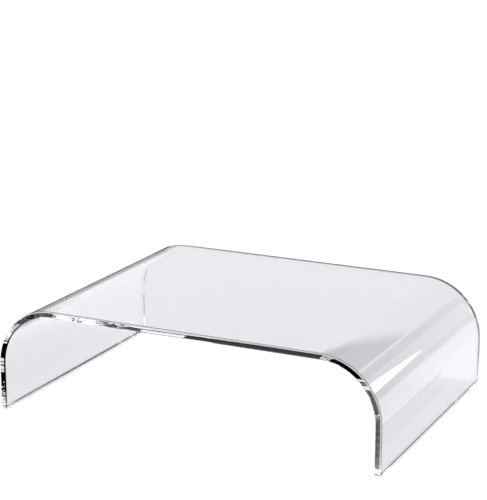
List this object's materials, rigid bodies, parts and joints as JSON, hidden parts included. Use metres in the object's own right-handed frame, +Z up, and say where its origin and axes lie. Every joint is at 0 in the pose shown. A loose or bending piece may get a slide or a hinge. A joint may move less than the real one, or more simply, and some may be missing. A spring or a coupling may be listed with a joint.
{
  "type": "monitor riser stand",
  "caption": "Clear acrylic monitor riser: a level shelf of bent sheet whose ends curve down into upright legs on thin non-slip pads.",
  "frame": {"origin": "middle of the stand's footprint, at desk level", "axes": "+X along the width towards the right leg, +Y from the front edge to the rear edge, +Z up"},
  "size_m": [0.5, 0.35, 0.134],
  "materials": {
    "clear_acrylic": "polished",
    "clear_silicone": "satin"
  },
  "bodies": {
    "root": {"riser_sheet": "clear_acrylic", "pad_front_left": "clear_silicone", "pad_front_right": "clear_silicone", "pad_rear_left": "clear_silicone", "pad_rear_right": "clear_silicone"}
  },
  "joints": []
}
